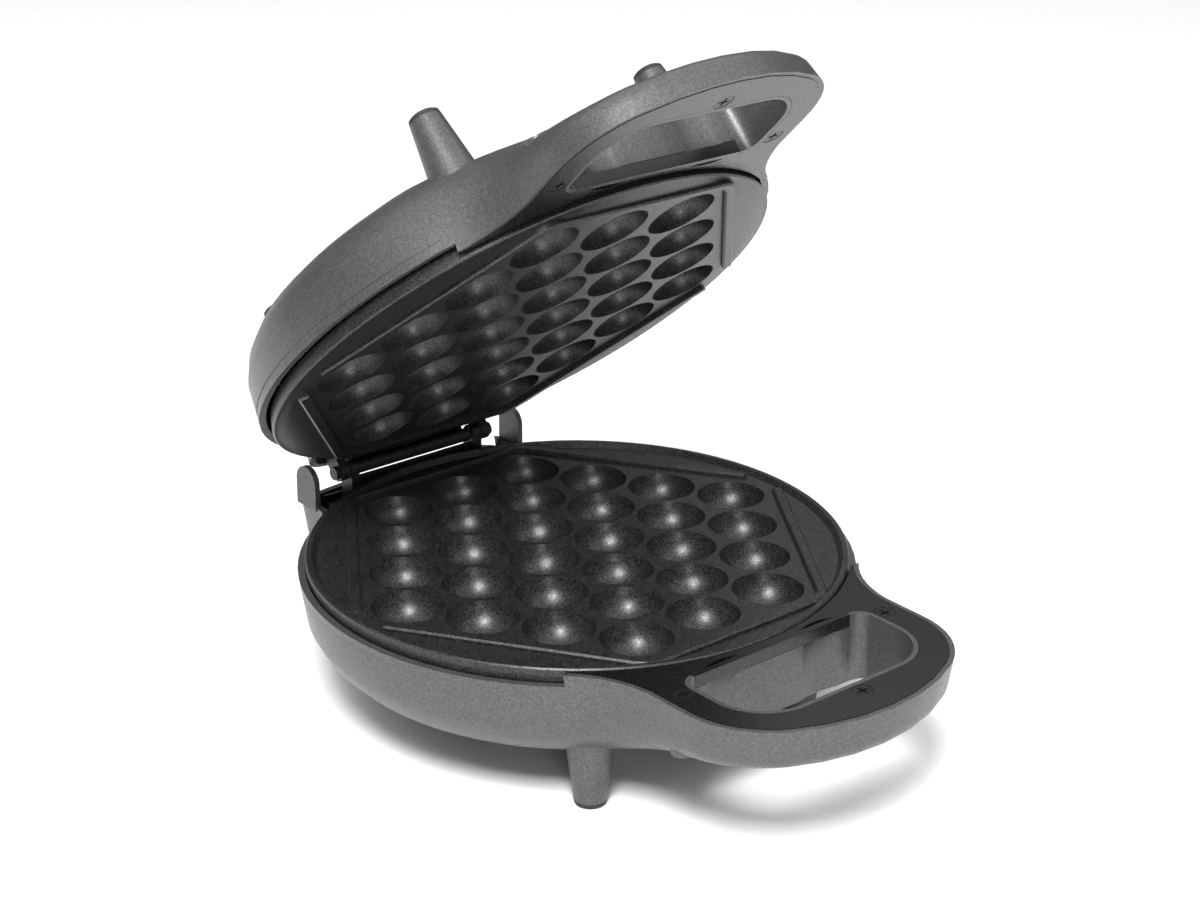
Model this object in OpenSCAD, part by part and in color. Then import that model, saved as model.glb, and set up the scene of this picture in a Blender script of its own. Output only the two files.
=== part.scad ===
// Bubble waffle maker: two hinged clamshell halves with round cast plates.
// Each half is drawn in its own plate frame: X along the hinge, -Y to the grip,
// Z = 0 on the land between the cups and +Z towards the other half.

/* [Plates] */
// Distance between neighbouring cups along a row
cup_pitch = 29; // [27:0.5:36]
// Distance between rows, towards the grip
row_pitch = 21.8; // [20:0.2:27]
// Radius of a cup at the land
cup_radius = 12.3; // [9:0.1:12.3]
// Depth of a cup
cup_depth = 11; // [7:0.5:12]
// Width of the bevel round a cup's edge
cup_bevel = 0.3; // [0.2:0.05:0.4]
// Wall of a cup under the plate
cup_wall = 1.6; // [1.2:0.1:2.4]
// Space between the cups' rims and the batter bar round them
bar_gap = 3.2; // [2:0.1:6]
// Width of the batter bar
bar_width = 3.8; // [2.5:0.1:5]
// Height of the batter bar above the land
bar_height = 1.7; // [1:0.1:2.2]
// Corner radius of the batter bar, on its middle line
bar_corner = 9; // [6:0.5:12]
// Opening in the batter bar at the two side corners
bar_opening = 17; // [8:1:30]
// Space between the bar's corners and the plate's edge
plate_border = 0.9; // [0.8:0.1:8]
// Thickness of the plate
plate_t = 3; // [2:0.2:4]
// Width of the raised rim round the plate
rim_width = 2.2; // [1.5:0.1:4]
// Height of the rim above the land
rim_height = 1.9; // [1:0.1:2.2]
// Height of the upper plate's rim, from its own land
upper_rim_height = -0.6; // [-2:0.1:2]
// Depth of the plate's skirt below the land
skirt_depth = 6; // [5:0.5:9]
// Space between the two lands with the lid closed
plate_gap = 6.4; // [5.5:0.1:9]

/* [Casings] */
// Wall of the casings
wall = 2.5; // [2:0.1:3]
// Gap between a plate and its casing
plate_clearance = 0.8; // [0.5:0.1:1.5]
// Depth of a casing below the land
casing_depth = 36; // [34:1:44]
// Radius of the casing's bottom edge, round the plate
bottom_round = 24; // [16:1:26]
// Lean of the side walls, as a slope
draft = 0.15; // [0.08:0.01:0.17]
// Height of the casing's edge round the plate, from the land
lip_top = -3; // [-4:0.1:-2]
// Height of the lid's edge round its plate, from the lid's own land
upper_lip_top = -5.8; // [-6.6:0.1:-5]
// Distance of the groove from that edge
groove_drop = 3.4; // [2:0.1:5]
// Width and depth of that groove
groove = 0.9; // [0.5:0.1:1.2]

/* [Grip] */
// Reach of the grip past the plate's casing
grip_reach = 54.6; // [50:0.2:70]
// Half of the grip's width
grip_half = 52.3; // [46:0.1:58]
// Thickness of the grip below the land
grip_depth = 14; // [12:0.5:18]
// Radius of the grip's two corners
grip_corner = 33; // [24:1:38]
// Bow of the grip's front edge, as a radius
front_bow = 74; // [66:1:150]
// Radius of the hollow curve between the round casing and the grip
grip_blend = 40; // [30:1:60]
// Width of the finger opening
hole_width = 78; // [60:1:80]
// Depth of the finger opening, towards the plate
hole_depth = 34; // [28:1:38]
// Radius of the finger opening's outer corners
hole_corner = 18; // [10:1:20]
// Width of the grip between the finger opening and its front
bar_front = 19; // [16:0.5:26]
// Wall round the finger opening
hole_wall = 1.6; // [1.4:0.1:3]
// Width of the casing's edge left showing round the cover
cover_border = 1.8; // [1.2:0.1:2.5]
// Thickness of the cover
cover_t = 2.6; // [2:0.1:3.5]
// Depth of the cover's lip along the back of the finger opening
lip_drop = 4.2; // [3:0.1:6]
// Height of the lower cover's face above the land
lower_cover_top = 1.6; // [0:0.1:2]
// Height of the upper cover's face, in the upper half's own frame
upper_cover_top = -2.6; // [-4:0.1:0]

/* [Hinge] */
// Distance of the hinge axis behind the plate's edge
hinge_behind = 3.2; // [3:0.1:6]
// Height of the hinge axis above the lower land
hinge_height = 5.2; // [4.8:0.1:6.5]
// Radius of the hinge pin
pin_radius = 1.5; // [1.2:0.1:2]
// Running clearance round the pin
pin_clearance = 0.05; // [0.02:0.01:0.1]
// Outer radius of the hinge tubes
tube_radius = 2.5; // [2.3:0.1:3]
// Length of each of the two hinge tubes
tube_length = 25.4; // [18:0.2:26]
// Thickness of the hinge brackets
sheet = 1.2; // [0.8:0.1:2]
// Half width of the lower casing's hinge housing
housing_half = 48; // [46:1:54]
// Distance of the hinge housing's back from the hinge axis
housing_back = 17; // [16:0.5:24]
// Space at the sides and back between the two hinge housings
housing_gap = 2; // [1.2:0.1:3]
// Radius of the cheeks that stand beside the hinge
cheek_radius = 6; // [4:0.5:7]
// Opening angle of the lid as drawn
open_angle = 44.3; // [0:0.1:60]

/* [Feet] */
// Height of a foot's tip below the land
foot_depth = 54.5; // [50:0.5:64]
// Distance of the feet from the middle, to each side
foot_x = 47; // [40:1:52]
// Distance of the feet from the middle, to front and back
foot_y = 64; // [50:1:66]
// Radius of a foot at its tip
foot_tip = 5.6; // [5:0.1:7]
// Radius of a foot at the casing
foot_root = 9; // [8:0.1:11]
// Height of the rubber pad on a foot
pad_height = 2; // [1.5:0.1:4]

/* [Inside] */
// Radius of the heating element's tube
heater_radius = 3.2; // [2.5:0.1:4]
// Radius of the ring that the heating element is bent to
heater_ring = 52; // [44:1:60]
// Radius of a screw's shank
screw_radius = 1.9; // [1.5:0.1:2.1]
// Radius of the cord gland's body
gland_radius = 5; // [4.6:0.1:6]
// Radius of the hole for the cord
cord_radius = 3.6; // [2.5:0.1:3.8]
// Radius of the indicator lamps' lenses
lens_radius = 3; // [2:0.1:4]
// Distance of each lamp from the middle line
lamp_x = 9; // [6:0.5:20]

/* [Hidden] */
$fn = 48;
eps = 0.01;
fit = 0.15;                       // easy fit between pieces that stay put
bar_offset = cup_radius + bar_gap + bar_width / 2;
row_counts = [3, 4, 5, 6, 5, 4, 3];
last_row = len(row_counts) - 1;
row_span = last_row / 2 * row_pitch;
lean = atan2(row_pitch, cup_pitch / 2);       // slope of the slanted sides of the cup field
// Corners of the batter bar's middle line, without its rounding
side_x = (max(row_counts) - 1) / 2 * cup_pitch + bar_offset / sin(lean);
end_y = row_span + bar_offset;
end_x = side_x - end_y / tan(lean);
plate_radius = max(side_x - bar_opening / 2 / tan(lean), norm([end_x, end_y]) - bar_corner * 0.24)
    + bar_width / 2 + plate_border + rim_width;
casing_radius = plate_radius + plate_clearance + wall;
hinge_y = plate_radius + hinge_behind;
rear_y = hinge_y + housing_back;
skirt_lean = draft * (skirt_depth + 3);
rear_floor = -casing_depth + 6 + wall;         // inside of the casing under the hinge
front_y = -(casing_radius + grip_reach);
notch_y = casing_radius * 0.742;               // where the edge steps up to the grip
stud_bottom = -(cup_depth + cup_wall + 0.2 + 2 * heater_radius);
reflector_top = stud_bottom - sheet;
reflector_t = 0.8;
casing_groove_end = 46;                      // angle behind the middle at which the groove ends
gland_x = 26;
gland_z = -18;
lamp_y = -30;
stud_y = row_span + 0.63 * row_pitch;
studs = [for (sx = [-1, 1], sy = [-1, 1]) [sx * cup_pitch / 2, sy * stud_y]];
post_radius = screw_radius + 3.9;
head_radius = screw_radius + 1.6;
head_height = 2.4;
head_seat = reflector_top - reflector_t - 4;
hole_back = front_y + bar_front + hole_depth;
hole_back_corner = 5;
lip_half = hole_width / 2 - hole_back_corner;
lower_bracket_z = -11;
upper_bracket_z = -7;
housing_top = hinge_height - (housing_back - wall - housing_gap) + 0.5;
bracket_half = housing_half - 14;
bracket_back = housing_back - wall - 4.6;
boss_x = 15;
boss_y = hinge_y + housing_back - 11.1;
small_screw = screw_radius - 0.4;               // radius of the hinge brackets' screws
small_head = small_screw + 1.3;
cover_screws = [[-hole_width / 2 - 5.2, hole_back - 6], [hole_width / 2 + 5.2, hole_back - 6],
                [0, front_y + bar_front - 5.2]];

// ---- Casing outline -------------------------------------------------------
// The right half of the outline runs from the back to the front as arcs that
// meet smoothly. Each arc keeps its centre when the outline is inset.
function smooth(t) = let (u = min(1, max(0, t))) u * u * (3 - 2 * u);
function mix(a, b, t) = a + (b - a) * t;

back_bow = 260;
back_corner = 14.5;
back_blend = 12;

// [centre, radius, first angle, last angle, steps, +1 outside curve or -1 hollow curve]
function outline_arcs(half, back) =
    let (bow_y = back - back_bow,
         cx = half - back_corner,
         cy = bow_y + sqrt(pow(back_bow - back_corner, 2) - cx * cx),
         bx = half + back_blend,
         by = sqrt(pow(casing_radius + back_blend, 2) - bx * bx),
         gx = grip_half + grip_blend,
         gy = -sqrt(pow(casing_radius + grip_blend, 2) - gx * gx),
         fy = front_y + front_bow,
         kx = grip_half - grip_corner,
         ky = fy - sqrt(pow(front_bow - grip_corner, 2) - kx * kx))
    [[[0, bow_y], back_bow, 90, atan2(cy - bow_y, cx), 3, 1],
     [[cx, cy], back_corner, atan2(cy - bow_y, cx), 0, 6, 1],
     [[bx, by], back_blend, 180, 180 + atan2(by, bx), 4, -1],
     [[0, 0], casing_radius, atan2(by, bx), atan2(gy, gx), 22, 1],
     [[gx, gy], grip_blend, 180 + atan2(gy, gx), 180, 8, -1],
     [[kx, ky], grip_corner, 0, atan2(ky - fy, kx), 8, 1],
     [[0, fy], front_bow, atan2(ky - fy, kx), -90, 3, 1]];

// One sample per point: [centre, radius, angle, sign]
function outline_samples(arcs) = [for (k = [0:len(arcs) - 1]) let (a = arcs[k])
    for (i = [0:a[4] - (k == len(arcs) - 1 ? 0 : 1)]) [a[0], a[1], mix(a[2], a[3], i / a[4]), a[5]]];
function inset_point(s, d) = s[0] + (s[1] - s[3] * d) * [cos(s[2]), sin(s[2])];

// Depth and edge radius of the casing as they change from back to front
function grip_share(y) = smooth((hole_back * 0.5 - y) / (hole_back * 0.5 - front_y - 14));
function back_share(y) = smooth((y - hinge_y * 0.52) / (hinge_y * 0.36));
function bottom_z(y) =
    mix(mix(-casing_depth, -grip_depth, grip_share(y)), -casing_depth + 6, back_share(y));
function edge_radius(y) = mix(mix(bottom_round, 6, grip_share(y)), 6, back_share(y));

// A point of the wall: turn 0 is the top edge, then 0 to 90 degrees round the bottom edge
function wall_point(s, top, turn, inside) =
    let (y0 = inset_point(s, 0)[1],
         r = edge_radius(y0),
         lean_in = draft * (top - bottom_z(y0) - r),
         d = lean_in + r - (r - inside) * cos(turn),
         p = inset_point(s, d))
    [p[0], p[1], bottom_z(p[1]) + r - (r - inside) * sin(turn)];
function top_point(s, top, inside) = let (p = inset_point(s, inside)) [p[0], p[1], top];

turns = [0, 18, 36, 54, 72, 90];
function outer_rings(samples, top) = concat(
    [[for (s = samples) top_point(s, top, 0)]],
    [for (t = turns) [for (s = samples) wall_point(s, top, t, 0)]]);
// Inside, the wall steps back at the seat of the grip's cover
function seat_inset(s) = inset_point(s, 0)[1] < 4 - notch_y ? cover_border - 0.1 : wall - 0.05;
function inner_rings(samples, top, seat) = concat(
    [for (i = [len(turns) - 1:-1:0]) [for (s = samples) wall_point(s, top, turns[i], wall)]],
    [[for (s = samples) top_point(s, seat, wall + draft * (top - seat))],
     [for (s = samples) top_point(s, seat, seat_inset(s))],
     [for (s = samples) top_point(s, top, seat_inset(s))]]);
function whole_ring(r) = concat(r, [for (i = [len(r) - 2:-1:1]) [-r[i][0], r[i][1], r[i][2]]]);

// Shell of a casing, open at the top
module shell(half, back, top, seat) {
    samples = outline_samples(outline_arcs(half, back));
    m = len(samples);
    rings = [for (r = concat(outer_rings(samples, top), inner_rings(samples, top, seat))) whole_ring(r)];
    n = 2 * m - 2;
    k = len(rings);
    outer_end = len(turns);
    function mirrored(i) = (n - i) % n;
    function cap(ring, flip) = [for (i = [0:m - 2]) let (
        q = i == 0 ? [0, 1, n - 1]
          : i == m - 2 ? [i, i + 1, mirrored(i)]
          : [i, i + 1, mirrored(i + 1), mirrored(i)])
        [for (j = flip ? [len(q) - 1:-1:0] : [0:len(q) - 1]) ring * n + q[j]]];
    sides = [for (a = [0:k - 1], i = [0:n - 1]) if (a != outer_end)
        let (b = (a + 1) % k, j = (i + 1) % n) [a * n + i, a * n + j, b * n + j, b * n + i]];
    polyhedron(points = [for (r = rings, p = r) p],
        faces = concat(sides, cap(outer_end, true), cap(outer_end + 1, false)));
}

// Flat outline of the casing, inset by d, as a polygon
function outline_polygon(half, back, d) =
    let (s = outline_samples(outline_arcs(half, back)))
    whole_ring([for (q = s) let (p = inset_point(q, d)) [p[0], p[1], 0]]);
module outline_shape(half, back, d) {
    polygon([for (p = outline_polygon(half, back, d)) [p[0], p[1]]]);
}

// ---- Small shared shapes ---------------------------------------------------
module rounded_hole(grow) {
    w = hole_width / 2 + grow;
    front = front_y + bar_front - grow;
    back = hole_back + grow;
    rf = hole_corner + grow;
    rb = hole_back_corner + grow;
    for (s = [-1, 1]) {
        translate([s * (w - rf), front + rf]) circle(rf);
        translate([s * (w - rb), back - rb]) circle(rb);
    }
    translate([-w, front + rf]) square([2 * w, back - rb - front - rf]);
    translate([-w + rf, front]) square([2 * (w - rf), back - front]);
    translate([-w + rb, back - 2 * rb]) square([2 * (w - rb), 2 * rb]);
}

module screw(length, r = screw_radius, head = head_radius, h = head_height) {
    difference() {
        union() {
            cylinder(h = h, r = head);
            translate([0, 0, -length]) cylinder(h = length + eps, r = r);
        }
        for (a = [0, 90]) rotate(a) translate([-head * 0.6, -0.4, h - 1]) cube([head * 1.2, 0.8, 2]);
    }
}

module at_feet() {
    for (sx = [-1, 1], sy = [-1, 1]) translate([sx * foot_x, sy * foot_y, 0]) children();
}

module foot_cone() {
    top = -casing_depth + 9;
    translate([0, 0, -foot_depth + pad_height])
        cylinder(h = top + foot_depth - pad_height, r1 = foot_tip, r2 = foot_root);
}

// ---- One half, drawn as the lower one --------------------------------------
// Space over the middle of the casing's floor, round the finger opening
module above_floor() {
    ys = [for (i = [0:8]) mix(front_y + bar_front - hole_wall - 1, hole_back + hole_wall + 1, i / 8)];
    translate([-hole_width, 0, 0]) rotate([90, 0, 90]) linear_extrude(2 * hole_width)
        polygon(concat([for (y = ys) [y, bottom_z(y) + wall / 2]], [[ys[8], 20], [ys[0], 20]]));
}

// A post ends within the casing's wall, where the casing is highest under it
post_over = max(0, norm(studs[0]) + post_radius - (casing_radius - bottom_round));
post_foot = bottom_round - casing_depth - sqrt(bottom_round ^ 2 - post_over ^ 2) + wall / 2;
function cover_post_foot(y) = max([for (s = [-1, 1]) bottom_z(y + s * (screw_radius + 2))]) + 0.6;

module casing(half, back, cover_top, edge, bracket_z, boss_foot) {
    seat = cover_top - cover_t;
    rim_z = cover_top - 0.2;
    difference() {
        union() {
            shell(half, back, rim_z, seat);
            intersection() {
                translate([0, 0, -casing_depth]) linear_extrude(casing_depth + cover_top) difference() {
                    rounded_hole(hole_wall);
                    rounded_hole(0);
                }
                above_floor();
            }
            at_feet() foot_cone();
            for (p = studs) translate([p[0], p[1], post_foot])
                cylinder(h = reflector_top - reflector_t - post_foot, r = post_radius);
            for (p = cover_screws) let (foot = cover_post_foot(p[1])) translate([p[0], p[1], foot])
                cylinder(h = seat - foot, r = screw_radius + 2);
            for (s = [-1, 1]) translate([s * boss_x, boss_y, boss_foot])
                cylinder(h = bracket_z - boss_foot, r = small_screw + 2.4);
        }
        // the finger opening, and the seat of the cover's lip along its back
        translate([0, 0, -casing_depth - 1]) linear_extrude(2 * casing_depth) rounded_hole(0);
        translate([-lip_half - 0.2, hole_back - 1, cover_top - lip_drop - 0.2])
            cube([2 * lip_half + 0.4, hole_wall + 2, 20]);
        // the lower edge round the plate, back to the hinge housing
        translate([-casing_radius - 5, -notch_y, edge])
            cube([2 * casing_radius + 10, 2 * casing_radius + housing_back + 60, 20]);
        // the groove under that edge
        rotate([0, 0, -casing_groove_end]) rotate_extrude(angle = 180 + 2 * casing_groove_end, $fn = 96)
            translate([casing_radius - 0.7 - draft * groove_drop, edge - groove_drop])
                square([4, groove]);
        for (p = studs) translate([p[0], p[1], 0]) {
            translate([0, 0, -casing_depth - 1])
                cylinder(h = head_seat + casing_depth + 1, r = head_radius + 0.4);
            translate([0, 0, head_seat - eps]) cylinder(h = 30, r = screw_radius + fit);
        }
        for (p = cover_screws) translate([p[0], p[1], -grip_depth + 3.5])
            cylinder(h = 30, r = screw_radius);
        for (s = [-1, 1]) translate([s * boss_x, boss_y, bracket_z - 5.6])
            cylinder(h = 30, r = small_screw);
    }
}

// Face of the grip, from its edge in to the plate and the finger opening
module grip_cover(half, back, cover_top) {
    difference() {
        union() {
            translate([0, 0, cover_top - cover_t]) linear_extrude(cover_t) difference() {
                intersection() {
                    outline_shape(half, back, cover_border);
                    translate([-casing_radius, front_y]) square([2 * casing_radius, -front_y - notch_y]);
                }
                circle(plate_radius + plate_clearance, $fn = 96);
                rounded_hole(hole_wall + fit);
            }
            translate([-lip_half, hole_back, cover_top - lip_drop])
                cube([2 * lip_half, hole_wall + 0.6, lip_drop]);
        }
        for (p = cover_screws) translate([p[0], p[1], cover_top - head_height - 0.1]) {
            cylinder(h = 10, r = head_radius + fit);
            translate([0, 0, -10]) cylinder(h = 11, r = screw_radius + fit);
        }
    }
}

module cover_screw_set(cover_top) {
    for (p = cover_screws) translate([p[0], p[1], cover_top - head_height - 0.1])
        screw(cover_top - head_height + grip_depth - 4);
}

module cup_places() {
    for (r = [0:last_row], c = [0:row_counts[r] - 1])
        translate([(c - (row_counts[r] - 1) / 2) * cup_pitch, (last_row / 2 - r) * row_pitch, 0])
            children();
}

// Bevelled section of the batter bar: [across, up]
bevel = 0.6;
bar_section = [[-bar_width / 2, -1], [bar_width / 2, -1], [bar_width / 2, bar_height - bevel],
    [bar_width / 2 - bevel, bar_height], [-bar_width / 2 + bevel, bar_height],
    [-bar_width / 2, bar_height - bevel]];
// Middle line of the bar round one end of the cup field, with the way it heads
corner_steps = 6;
arc_x = end_x - bar_corner * tan(lean / 2);
bar_line = concat(
    [[[side_x - bar_opening / 2 / tan(lean), bar_opening / 2], 90 - lean]],
    [for (i = [0:corner_steps]) let (a = 90 - lean + lean * i / corner_steps)
        [[arc_x, end_y - bar_corner] + bar_corner * [cos(a), sin(a)], a]],
    [for (i = [0:corner_steps]) let (a = 90 + lean * i / corner_steps)
        [[-arc_x, end_y - bar_corner] + bar_corner * [cos(a), sin(a)], a]],
    [[[-side_x + bar_opening / 2 / tan(lean), bar_opening / 2], 90 + lean]]);
module end_bar() {
    m = len(bar_section);
    k = len(bar_line);
    polyhedron(
        points = [for (q = bar_line, c = bar_section)
            [q[0][0] + c[0] * cos(q[1]), q[0][1] + c[0] * sin(q[1]), c[1]]],
        faces = concat([[for (j = [m - 1:-1:0]) j], [for (j = [0:m - 1]) (k - 1) * m + j]],
            [for (i = [0:k - 2], j = [0:m - 1]) let (n = (j + 1) % m)
                [i * m + n, (i + 1) * m + n, (i + 1) * m + j, i * m + j]]));
}

module plate(rim_z) {
    difference() {
        union() {
            rotate_extrude($fn = 128) polygon([[0, -plate_t], [plate_radius - 5, -plate_t],
                [plate_radius - 2.2 - skirt_lean, -plate_t - 0.6],
                [plate_radius - 2.2 - skirt_lean, -skirt_depth], [plate_radius - skirt_lean, -skirt_depth],
                [plate_radius, -1.6], [plate_radius, rim_z - 0.5],
                [plate_radius - 0.5, rim_z], [plate_radius - rim_width, rim_z],
                [plate_radius - rim_width - 1.6, 0], [0, 0]]);
            end_bar();
            rotate(180) end_bar();
            cup_places() rotate_extrude() cup_bump();
            for (p = studs) translate([p[0], p[1], stud_bottom])
                cylinder(h = -stud_bottom - 1, r = screw_radius + 2.4);
        }
        cup_places() {
            translate([0, 0, ball_radius - cup_depth]) sphere(ball_radius);
            translate([0, 0, -cup_bevel])
                cylinder(h = 2 * cup_bevel, r1 = cup_radius - cup_bevel, r2 = cup_radius + cup_bevel);
        }
        for (p = studs) translate([p[0], p[1], stud_bottom - 1])
            cylinder(h = -stud_bottom - 2.5, r = screw_radius);
    }
}
// A cup is the end of a ball, cut off by the land
ball_radius = (cup_radius * cup_radius + cup_depth * cup_depth) / (2 * cup_depth);
module cup_bump() {
    outer = ball_radius + cup_wall;
    edge = min(norm([cup_pitch / 2, row_pitch]), cup_pitch) / 2 - 0.06;
    intersection() {
        translate([0, -cup_depth - cup_wall]) square([edge, cup_depth + cup_wall - plate_t + 0.5]);
        translate([0, ball_radius - cup_depth]) circle(outer);
    }
}

module heater() {
    z = stud_bottom + heater_radius;
    gap_angle = asin((cup_pitch / 2 + screw_radius + 2.4 + heater_radius + 1.6) / heater_ring);
    translate([0, 0, z]) {
        rotate(90 + gap_angle) rotate_extrude(angle = 360 - 2 * gap_angle, $fn = 96)
            translate([heater_ring, 0]) circle(heater_radius);
        for (s = [-1, 1]) translate([s * heater_ring * sin(gap_angle), heater_ring * cos(gap_angle), 0])
            rotate([-90, 0, 0]) cylinder(h = stud_y - heater_ring * cos(gap_angle), r = heater_radius);
    }
}

// Straps that hold the element against the plate
module heater_clamps() {
    for (p = studs) difference() {
        union() {
            translate([p[0], p[1], reflector_top]) cylinder(h = sheet, r = 4.6);
            translate([p[0] - 5, p[1] > 0 ? heater_ring - heater_radius - 6 : p[1], reflector_top])
                cube([10, abs(p[1]) - heater_ring + heater_radius + 6, sheet]);
        }
        translate([p[0], p[1], reflector_top - 1]) cylinder(h = 5, r = screw_radius + fit);
    }
}

module reflector() {
    r = plate_radius - 8;
    difference() {
        union() {
            translate([0, 0, reflector_top - reflector_t]) cylinder(h = reflector_t, r = r, $fn = 96);
            translate([0, 0, reflector_top - reflector_t]) difference() {
                cylinder(h = 7, r = r, $fn = 96);
                translate([0, 0, -1]) cylinder(h = 9, r = r - reflector_t, $fn = 96);
            }
        }
        for (p = studs) translate([p[0], p[1], reflector_top - 2]) cylinder(h = 5, r = screw_radius + fit);
    }
}

module plate_screw_set() {
    for (p = studs) translate([p[0], p[1], head_seat])
        mirror([0, 0, 1]) screw(-(head_seat - stud_bottom) + 8);
}

module foot_pads() {
    at_feet() translate([0, 0, -foot_depth]) rotate_extrude()
        polygon([[0, 0], [foot_tip - 1.2, 0], [foot_tip - 0.3, 0.6], [foot_tip, pad_height],
            [0, pad_height]]);
}

// ---- Hinge -----------------------------------------------------------------
ear_t = 3.6;
arm_t = 3.6;
ear_x = tube_length + 0.5 + ear_t / 2 + 0.4;
arm_x = ear_x + ear_t / 2 + 0.5 + arm_t / 2;
knuckle = pin_radius + 1.9;

module across_x(x, y, z, length) {
    translate([x, y, z]) rotate([0, 90, 0]) translate([0, 0, -length / 2]) children();
}

// Plate with two ears round the pin; height is the pin's height above the plate's face
module hinge_bracket(places, thickness, height, reach_front, reach_back, half, bracket_z) {
    difference() {
        union() {
            translate([-half, hinge_y - reach_front, bracket_z])
                cube([2 * half, reach_front + reach_back, sheet]);
            for (x = places) {
                translate([x - thickness / 2, hinge_y - knuckle, bracket_z + eps])
                    cube([thickness, 2 * knuckle, height - bracket_z]);
                across_x(x, hinge_y, height, thickness) cylinder(h = thickness, r = knuckle);
            }
        }
        for (s = [-1, 1]) translate([s * boss_x, boss_y, bracket_z - 1])
            cylinder(h = 5, r = small_screw + fit);
    }
}

module bracket_screw_set(bracket_z) {
    for (s = [-1, 1]) translate([s * boss_x, boss_y, bracket_z + sheet])
        screw(6.4, small_screw, small_head, 2);
}

// Height of the axis in the upper half's own frame
upper_axis = plate_gap - hinge_height;

// ---- Placing ---------------------------------------------------------------
function opened(p, a) = let (y = p[1] - hinge_y, z = p[2] - hinge_height)
    [p[0], hinge_y + y * cos(a) + z * sin(a), hinge_height - y * sin(a) + z * cos(a)];
upper_half = housing_half - wall - housing_gap;
upper_back = rear_y - wall - housing_gap;
upper_outline = outline_samples(outline_arcs(upper_half, upper_back));
upper_rear = max([for (r = outer_rings(upper_outline, upper_cover_top), p = r)
    opened([p[0], p[1], plate_gap - p[2]], open_angle)[1]]);
origin_y = (front_y + max(upper_rear, rear_y)) / 2;

module lower() {
    translate([0, -origin_y, foot_depth]) children();
}
module upper() {
    lower() translate([0, hinge_y, hinge_height]) rotate([-open_angle, 0, 0])
        translate([0, -hinge_y, plate_gap - hinge_height]) mirror([0, 0, 1]) children();
}

// ---- Pieces ----------------------------------------------------------------
module lower_casing() color("dimgray") lower() difference() {
    union() {
        lower_shell();
        hinge_cheeks();
    }
    // the seat of the cord gland
    translate([gland_x, rear_y - 20, gland_z]) rotate([-90, 0, 0]) cylinder(h = 40, r = gland_radius + fit);
}
module lower_shell() difference() {
    casing(housing_half, rear_y, lower_cover_top, lip_top, lower_bracket_z, -casing_depth + 7);
    // the back is lower, so that the lid's housing swings over it
    translate([-upper_half - 1.2, rear_y - 12, housing_top]) cube([2 * upper_half + 2.4, 30, 20]);
}
// Rounded ears on top of the housing's side walls
module hinge_cheeks() for (s = [-1, 1]) {
    x = s * (housing_half - wall / 2 - 0.1);
    across_x(x, hinge_y, hinge_height, wall - 0.4) cylinder(h = wall - 0.4, r = cheek_radius);
    translate([x - wall / 2 + 0.2, hinge_y - cheek_radius, lip_top - 1.5])
        cube([wall - 0.4, 2 * cheek_radius, hinge_height - lip_top + 1.5]);
}

module lower_grip_cover() color([0.06, 0.06, 0.06]) lower()
    grip_cover(housing_half, rear_y, lower_cover_top);
module lower_cover_screws() color("black") lower() cover_screw_set(lower_cover_top);
module lower_plate() color([0.1, 0.1, 0.1]) lower() plate(rim_height);
module lower_heater() color("darkgray") lower() heater();
module lower_heater_clamps() color("silver") lower() heater_clamps();
module lower_reflector() color("gainsboro") lower() reflector();
module lower_plate_screws() color("silver") lower() plate_screw_set();
module lower_foot_pads() color("black") lower() foot_pads();

module upper_casing() color("dimgray") upper() difference() {
    casing(upper_half, upper_back, upper_cover_top, upper_lip_top, upper_bracket_z, -13);
    for (s = [-1, 1]) translate([s * lamp_x, lamp_y, -casing_depth - 1])
        cylinder(h = wall + 3, r = lens_radius + fit);
}
module upper_grip_cover() color([0.06, 0.06, 0.06]) upper()
    grip_cover(upper_half, upper_back, upper_cover_top);
module upper_cover_screws() color("black") upper() cover_screw_set(upper_cover_top);
module upper_plate() color([0.1, 0.1, 0.1]) upper() plate(upper_rim_height);
module upper_heater() color("darkgray") upper() heater();
module upper_heater_clamps() color("silver") upper() heater_clamps();
module upper_reflector() color("gainsboro") upper() reflector();
module upper_plate_screws() color("silver") upper() plate_screw_set();
module upper_foot_pads() color("black") upper() foot_pads();

module hinge_pin() color("gray") lower() {
    reach = arm_x + arm_t / 2 + 0.4;
    across_x(0, hinge_y, hinge_height, 2 * reach) cylinder(h = 2 * reach, r = pin_radius);
    for (s = [-1, 1]) across_x(s * (reach + 0.6), hinge_y, hinge_height, 1.2)
        cylinder(h = 1.2, r = pin_radius + 1);
}
module lower_hinge_bracket() color([0.08, 0.08, 0.08]) lower() difference() {
    union() {
        hinge_bracket([-ear_x, ear_x], ear_t, hinge_height, 11, bracket_back, bracket_half,
            lower_bracket_z);
        translate([-bracket_half, hinge_y + bracket_back - sheet, lower_bracket_z + eps])
            cube([2 * bracket_half, sheet, housing_top - 0.4 - lower_bracket_z]);
        // the web under the tubes
        translate([-ear_x, hinge_y - sheet - 0.6, lower_bracket_z + eps])
            cube([2 * ear_x, sheet, hinge_height - tube_radius - 0.4 - lower_bracket_z]);
    }
    across_x(0, hinge_y, hinge_height, 90) cylinder(h = 90, r = pin_radius);
}
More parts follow.
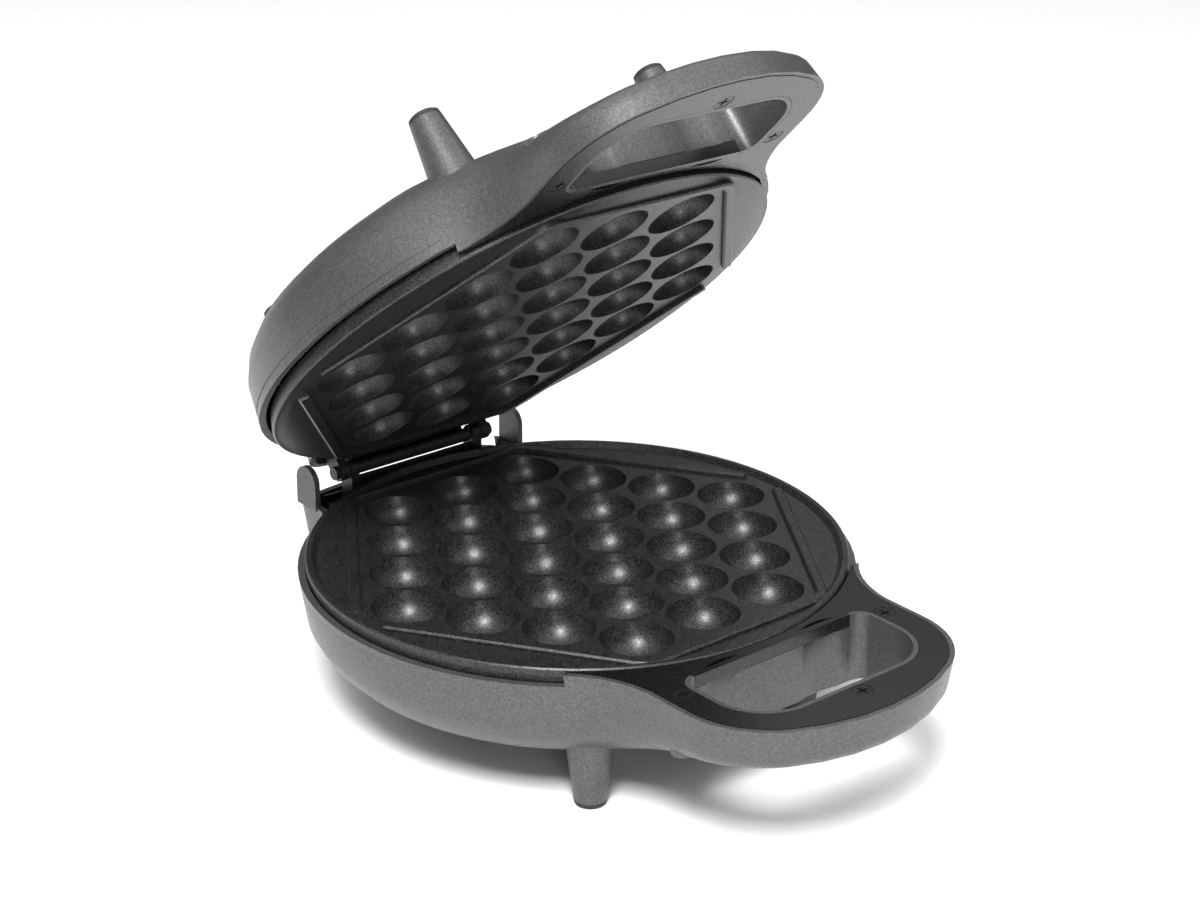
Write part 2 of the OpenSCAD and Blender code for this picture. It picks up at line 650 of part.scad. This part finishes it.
module upper_hinge_bracket() color([0.08, 0.08, 0.08]) upper() difference() {
    union() {
        hinge_bracket([-arm_x, arm_x], arm_t, upper_axis, knuckle, knuckle, arm_x + arm_t / 2,
            upper_bracket_z);
        difference() {
            translate([-boss_x - 5, hinge_y, upper_bracket_z])
                cube([2 * boss_x + 10, boss_y + 2.2 - hinge_y, sheet]);
            for (s = [-1, 1]) translate([s * boss_x, boss_y, upper_bracket_z - 1])
                cylinder(h = 5, r = small_screw + fit);
        }
        for (s = [-1, 1]) {
            across_x(s * (tube_length / 2 + 0.2), hinge_y, upper_axis, tube_length)
                cylinder(h = tube_length, r = tube_radius);
            translate([s * (tube_length / 2 + 0.2) - tube_length / 2, hinge_y + tube_radius - sheet,
                upper_bracket_z + eps])
                cube([tube_length, sheet, upper_axis - upper_bracket_z]);
        }
    }
    across_x(0, hinge_y, upper_axis, 90) cylinder(h = 90, r = pin_radius + pin_clearance);
}
module lower_bracket_screws() color("silver") lower() bracket_screw_set(lower_bracket_z);
module upper_bracket_screws() color("silver") upper() bracket_screw_set(upper_bracket_z);

module thermostat() color("ivory") lower() translate([0, 0, reflector_top - reflector_t - 8]) {
    cylinder(h = 8, r = 9);
}
module thermal_fuse() color("silver") lower() translate([24, 8, reflector_top - reflector_t - 2.1])
    rotate([90, 0, 0]) cylinder(h = 12, r = 2, center = true);
module terminal_block() color("ivory") lower() difference() {
    translate([-15, rear_y - wall - 25, rear_floor + 0.05]) cube([30, 10, 9]);
    for (x = [-9, 0, 9]) translate([x, rear_y - 20 - wall, rear_floor + 3]) cylinder(h = 12, r = 1.8);
}
module cord_gland() color("black") lower() translate([gland_x, 0, gland_z]) rotate([-90, 0, 0])
difference() {
    union() {
        translate([0, 0, rear_y - 12]) cylinder(h = 16, r = gland_radius);
        translate([0, 0, rear_y + 0.2]) cylinder(h = 1.6, r = gland_radius + 1.6);
    }
    translate([0, 0, rear_y - 20]) cylinder(h = 40, r = cord_radius);
}
module lamp_lens(x) translate([x, lamp_y, -casing_depth - 0.6]) {
    cylinder(h = wall + 1.6, r = lens_radius);
}
module power_lamp_lens() color("red") upper() lamp_lens(-lamp_x);
module ready_lamp_lens() color("green") upper() lamp_lens(lamp_x);
module lamp_board() color("darkgreen") upper()
    translate([-lamp_x - 8, lamp_y - 7, -casing_depth + wall + 1.2]) cube([2 * lamp_x + 16, 14, 1.6]);

lower_casing();
lower_grip_cover();
lower_cover_screws();
lower_plate();
lower_heater();
lower_heater_clamps();
lower_reflector();
lower_plate_screws();
lower_foot_pads();
upper_casing();
upper_grip_cover();
upper_cover_screws();
upper_plate();
upper_heater();
upper_heater_clamps();
upper_reflector();
upper_plate_screws();
upper_foot_pads();
hinge_pin();
lower_hinge_bracket();
lower_bracket_screws();
upper_hinge_bracket();
upper_bracket_screws();
thermostat();
thermal_fuse();
terminal_block();
cord_gland();
power_lamp_lens();
ready_lamp_lens();
lamp_board();
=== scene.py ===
# %% [markdown]
# # A bubble waffle maker with its lid open
# This lesson dresses a finished CAD model. The CAD gives every hard piece its true
# size and place, so the work left for Blender is finish: the flecked silver lacquer,
# the black non-stick coating, the satin grip covers and the light that shows them.

# %% Load the frame
import math

import bpy
from mathutils import Matrix, Vector


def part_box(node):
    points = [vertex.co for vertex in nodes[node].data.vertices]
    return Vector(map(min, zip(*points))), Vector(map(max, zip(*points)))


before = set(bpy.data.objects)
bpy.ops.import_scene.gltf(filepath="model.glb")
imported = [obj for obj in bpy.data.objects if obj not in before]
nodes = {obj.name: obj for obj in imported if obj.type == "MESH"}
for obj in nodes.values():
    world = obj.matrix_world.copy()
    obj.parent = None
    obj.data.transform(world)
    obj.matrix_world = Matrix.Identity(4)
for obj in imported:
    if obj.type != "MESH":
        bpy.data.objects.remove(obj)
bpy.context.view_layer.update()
mm = 0.001
print("pieces from the CAD:", len(nodes))

# %% [markdown]
# ## The camera
# The camera stands to the left of the grip and a little above it, with a long lens.
# It is set first, because every judgement about a finish depends on the view.
# Its place is worked out from the middle of the lower plate, in multiples of the
# distance between two cups, turned by an azimuth, an elevation and a slight roll.

# %% Stand the camera
cup_pitch = 29 * mm
rim_above_land = 1.9 * mm
plate_low, plate_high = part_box("lower_plate")
plate_middle = (plate_low + plate_high) / 2
plate_middle.z = plate_high.z - rim_above_land


def camera_axes(azimuth, elevation, roll):
    a, e, r = map(math.radians, (azimuth, elevation, roll))
    back = Vector((math.sin(a) * math.cos(e), -math.cos(a) * math.cos(e), math.sin(e)))
    level = Vector((math.cos(a), math.sin(a), 0))
    upright = back.cross(level)
    right = math.cos(r) * level + math.sin(r) * upright
    up = -math.sin(r) * level + math.cos(r) * upright
    return right, up, back


right, up, back = camera_axes(-40.083, 22.648, 0.4006)
camera_data = bpy.data.cameras.new("studio_camera")
camera_data.lens = 73.92
camera_data.sensor_width = 36
camera_data.clip_start, camera_data.clip_end = 0.05, 60
from_plate_middle = 0.2716 * right + 1.1724 * up + 29.5264 * back
camera = bpy.data.objects.new("studio_camera", camera_data)
turn = Matrix((right, up, back)).transposed().to_4x4()
camera.matrix_world = Matrix.Translation(plate_middle + cup_pitch * from_plate_middle) @ turn
bpy.context.scene.collection.objects.link(camera)
bpy.context.scene.camera = camera
print("camera at", [round(v, 3) for v in camera.matrix_world.translation])

# %% [markdown]
# ## A helper for materials
# Every finish starts from a Principled shader. The helper makes one and returns the
# material, its node tree, the shader, and the object's own coordinates in metres, so
# that a pattern keeps its real size on every piece.

# %% Start a material


def start_finish(name):
    material = bpy.data.materials.new(name)
    material.use_nodes = True
    tree = material.node_tree
    shader = tree.nodes["Principled BSDF"]
    place = tree.nodes.new("ShaderNodeTexCoord").outputs["Object"]
    return material, tree, shader, place


# %% [markdown]
# ## Flecks
# Lacquer and non-stick coating both hold small flecks that catch the light one by
# one. A cell texture gives each fleck its own random value, and a finer noise breaks
# up their edges. Both coatings use the effect with their own size and strength, so
# it is a node group. It puts out a colour, a roughness and a height.

# %% Build the flecks group


def build_flecks():
    group = bpy.data.node_groups.new("flecks", "ShaderNodeTree")
    for name, kind, side in (
        ("Place", "NodeSocketVector", "INPUT"),
        ("Fleck Size", "NodeSocketFloat", "INPUT"),
        ("Dark Colour", "NodeSocketColor", "INPUT"),
        ("Light Colour", "NodeSocketColor", "INPUT"),
        ("Smooth Roughness", "NodeSocketFloat", "INPUT"),
        ("Rough Roughness", "NodeSocketFloat", "INPUT"),
        ("Colour", "NodeSocketColor", "OUTPUT"),
        ("Roughness", "NodeSocketFloat", "OUTPUT"),
        ("Height", "NodeSocketFloat", "OUTPUT"),
    ):
        group.interface.new_socket(name=name, in_out=side, socket_type=kind)
    new, link = group.nodes.new, group.links.new
    given, made = new("NodeGroupInput"), new("NodeGroupOutput")
    scale = new("ShaderNodeMath")
    scale.operation = "DIVIDE"
    scale.inputs[0].default_value = 1
    link(given.outputs["Fleck Size"], scale.inputs[1])
    cells = new("ShaderNodeTexVoronoi")
    link(given.outputs["Place"], cells.inputs["Vector"])
    link(scale.outputs[0], cells.inputs["Scale"])
    split = new("ShaderNodeSeparateColor")
    link(cells.outputs["Color"], split.inputs[0])
    cloud = new("ShaderNodeTexNoise")
    cloud.inputs["Detail"].default_value = 3
    link(given.outputs["Place"], cloud.inputs["Vector"])
    link(scale.outputs[0], cloud.inputs["Scale"])
    blend = new("ShaderNodeMath")
    blend.operation = "MULTIPLY"
    link(split.outputs[0], blend.inputs[0])
    link(cloud.outputs["Fac"], blend.inputs[1])
    spread = new("ShaderNodeMapRange")
    spread.inputs["From Min"].default_value = 0.05
    spread.inputs["From Max"].default_value = 0.55
    link(blend.outputs[0], spread.inputs["Value"])
    colour = new("ShaderNodeMix")
    colour.data_type = "RGBA"
    link(spread.outputs[0], colour.inputs[0])
    link(given.outputs["Dark Colour"], colour.inputs[6])
    link(given.outputs["Light Colour"], colour.inputs[7])
    link(colour.outputs[2], made.inputs["Colour"])
    rough = new("ShaderNodeMix")
    link(split.outputs[1], rough.inputs[0])
    link(given.outputs["Smooth Roughness"], rough.inputs[2])
    link(given.outputs["Rough Roughness"], rough.inputs[3])
    link(rough.outputs[0], made.inputs["Roughness"])
    link(cloud.outputs["Fac"], made.inputs["Height"])
    return group


flecks = build_flecks()


def add_flecks(tree, shader, place, size, dark, light, smooth, rough, relief):
    use = tree.nodes.new("ShaderNodeGroup")
    use.node_tree = flecks
    tree.links.new(place, use.inputs["Place"])
    use.inputs["Fleck Size"].default_value = size
    use.inputs["Dark Colour"].default_value = (*dark, 1)
    use.inputs["Light Colour"].default_value = (*light, 1)
    use.inputs["Smooth Roughness"].default_value = smooth
    use.inputs["Rough Roughness"].default_value = rough
    tree.links.new(use.outputs["Colour"], shader.inputs["Base Color"])
    tree.links.new(use.outputs["Roughness"], shader.inputs["Roughness"])
    bump = tree.nodes.new("ShaderNodeBump")
    bump.inputs["Strength"].default_value = relief
    bump.inputs["Distance"].default_value = 0.1 * mm
    tree.links.new(use.outputs["Height"], bump.inputs["Height"])
    tree.links.new(bump.outputs[0], shader.inputs["Normal"])


# %% [markdown]
# ## Silver lacquer
# The casings are moulded plastic, sprayed with a dark silver lacquer that holds fine
# metal flakes under a satin surface. A partly metallic shader keeps both the flakes' glint and
# the soft grey body of the paint. Flakes are about a third of a millimetre.

# %% Mix the silver lacquer
silver_lacquer, tree, shader, place = start_finish("silver_lacquer")
lacquer_dark, lacquer_light = (0.05, 0.05, 0.051), (0.1, 0.1, 0.102)
add_flecks(tree, shader, place, 0.4 * mm, lacquer_dark, lacquer_light, 0.36, 0.5, 0.15)
shader.inputs["Metallic"].default_value = 0.45
shader.inputs["Coat Weight"].default_value = 0.12
shader.inputs["Coat Roughness"].default_value = 0.3
print("made", silver_lacquer.name)

# %% [markdown]
# ## Non-stick coating
# The cast plates wear a black non-stick coating with a fine sparkle. It is smooth
# enough to hold a soft bright highlight in each cup, and grainy enough to break its
# edge. The flecks are smaller and darker than the lacquer's, with more relief.

# %% Mix the non-stick coating
nonstick_coating, tree, shader, place = start_finish("nonstick_coating")
coating_dark, coating_light = (0.003, 0.003, 0.0032), (0.05, 0.05, 0.052)
add_flecks(tree, shader, place, 0.35 * mm, coating_dark, coating_light, 0.3, 0.42, 0.35)
shader.inputs["Metallic"].default_value = 0.35
print("made", nonstick_coating.name)

# %% [markdown]
# ## Plain finishes with a fine grain
# Covers, rubber, steel and ceramic differ in colour, roughness and shine, and each has
# a fine grain in its own size. One function mixes them all: a noise varies the colour
# and the roughness a little and gives the bump.

# %% Mix the other finishes


def grained_finish(name, dark, light, roughness, metallic, grain, relief):
    material, tree, shader, place = start_finish(name)
    smooth, rough = roughness * 0.85, roughness * 1.15
    add_flecks(tree, shader, place, grain, dark, light, smooth, rough, relief)
    shader.inputs["Metallic"].default_value = metallic
    return material


grained = {
    "cover_black": ((0.003,) * 3, (0.005,) * 3, 0.3, 0.0, 0.3 * mm, 0.03),
    "screw_black": ((0.01,) * 3, (0.03,) * 3, 0.35, 0.6, 0.4 * mm, 0.1),
    "hinge_black": ((0.018,) * 3, (0.05,) * 3, 0.36, 0.5, 0.4 * mm, 0.15),
    "foot_rubber": ((0.008,) * 3, (0.018,) * 3, 0.7, 0.0, 0.5 * mm, 0.4),
    "zinc_steel": ((0.42, 0.42, 0.43), (0.6, 0.6, 0.62), 0.35, 1.0, 1.5 * mm, 0.05),
    "heater_sheath": ((0.2, 0.19, 0.17), (0.33, 0.31, 0.28), 0.45, 1.0, 1.0 * mm, 0.1),
    "bright_sheet": ((0.6, 0.6, 0.61), (0.72, 0.72, 0.73), 0.25, 1.0, 2.0 * mm, 0.03),
    "fired_ceramic": ((0.6, 0.56, 0.47), (0.72, 0.68, 0.6), 0.7, 0.0, 0.4 * mm, 0.2),
    "terminal_nylon": ((0.62, 0.6, 0.52), (0.7, 0.68, 0.6), 0.45, 0.0, 0.8 * mm, 0.05),
    "red_lens": ((0.35, 0.01, 0.008), (0.5, 0.02, 0.015), 0.1, 0.0, 1.2 * mm, 0.02),
    "green_lens": ((0.01, 0.22, 0.05), (0.02, 0.34, 0.09), 0.1, 0.0, 1.2 * mm, 0.02),
    "board_green": ((0.01, 0.08, 0.03), (0.02, 0.12, 0.05), 0.35, 0.0, 1.0 * mm, 0.05),
}
finishes = {name: grained_finish(name, *values) for name, values in grained.items()}
finishes["silver_lacquer"] = silver_lacquer
finishes["nonstick_coating"] = nonstick_coating
print("finishes:", sorted(finishes))

# %% [markdown]
# ## Give every CAD piece its finish
# The CAD meshes keep their shape. Their faces are shaded smooth where they meet at a
# shallow angle and sharp where they meet at a real edge.

# %% Dress the CAD pieces
finish_of = {
    "casing": "silver_lacquer", "grip_cover": "cover_black", "cover_screws": "screw_black",
    "plate": "nonstick_coating", "heater": "heater_sheath", "heater_clamps": "zinc_steel",
    "reflector": "bright_sheet", "plate_screws": "zinc_steel", "foot_pads": "foot_rubber",
    "hinge_bracket": "hinge_black", "bracket_screws": "screw_black", "hinge_pin": "hinge_black",
    "thermostat": "fired_ceramic", "thermal_fuse": "zinc_steel",
    "terminal_block": "terminal_nylon", "cord_gland": "foot_rubber",
    "power_lamp_lens": "red_lens", "ready_lamp_lens": "green_lens", "lamp_board": "board_green",
}
shallow = math.radians(32)


def dress(piece, finish):
    piece.data.materials.clear()
    piece.data.materials.append(finishes[finish])
    if "custom_normal" in piece.data.attributes:
        piece.data.attributes.remove(piece.data.attributes["custom_normal"])
    piece.data.shade_smooth()
    join = piece.modifiers.new("join_faces", "WELD")
    join.merge_threshold = 0.002 * mm
    part = piece.modifiers.new("keep_edges", "EDGE_SPLIT")
    part.split_angle = shallow


for name, piece in nodes.items():
    kind = name.removeprefix("lower_").removeprefix("upper_")
    dress(piece, finish_of[kind])
print("dressed", len(nodes), "pieces")

# %% [markdown]
# ## Floor and light
# The machine stands on a white sweep. The floor is one pale sheet with a faint
# variation, wide enough to reach past the view on every side. The sky is a dim white.
# A key box high on the camera's side puts the highlight in each cup of the base, a low
# box in front does the same for the lid, and a wide box overhead whitens the floor.

# %% Lay the floor
floor_mesh = bpy.data.meshes.new("studio_floor")
reach = 30
corners = [(-reach, -reach, 0), (reach, -reach, 0), (reach, reach, 0), (-reach, reach, 0)]
floor_mesh.from_pydata(corners, [], [(0, 1, 2, 3)])
floor = bpy.data.objects.new("studio_floor", floor_mesh)
bpy.context.scene.collection.objects.link(floor)
paper, tree, shader, place = start_finish("floor_paper")
add_flecks(tree, shader, place, 4 * mm, (0.86,) * 3, (0.88,) * 3, 0.55, 0.6, 0.0)
floor_mesh.materials.append(paper)

# %% Light the scene
world = bpy.data.worlds.new("white_sky")
bpy.context.scene.world = world
world.use_nodes = True
sky = world.node_tree.nodes["Background"]
sky.inputs["Color"].default_value = (1, 1, 1, 1)
sky.inputs["Strength"].default_value = 0.12


def soft_box(name, direction, distance, wide, tall, power):
    data = bpy.data.lights.new(name, "AREA")
    data.shape, data.size, data.size_y, data.energy = "RECTANGLE", wide, tall, power
    lamp = bpy.data.objects.new(name, data)
    lamp.location = plate_middle + Vector(direction).normalized() * distance
    lamp.rotation_mode = "QUATERNION"
    lamp.rotation_quaternion = (lamp.location - plate_middle).to_track_quat("Z", "Y")
    bpy.context.scene.collection.objects.link(lamp)


def aim(azimuth, elevation):
    return camera_axes(azimuth, elevation, 0)[2]


soft_box("key_box", aim(-46, 50), 1.6, 0.45, 0.45, 40)
soft_box("low_box", aim(-29, 6), 1.6, 0.35, 0.35, 7)
soft_box("top_box", (0, 0, 1), 2.5, 6, 6, 150)

# %% [markdown]
# ## Colour
# The standard view transform keeps the greys as they are lit.

# %% Colour of the picture
bpy.context.scene.view_settings.view_transform = "Standard"
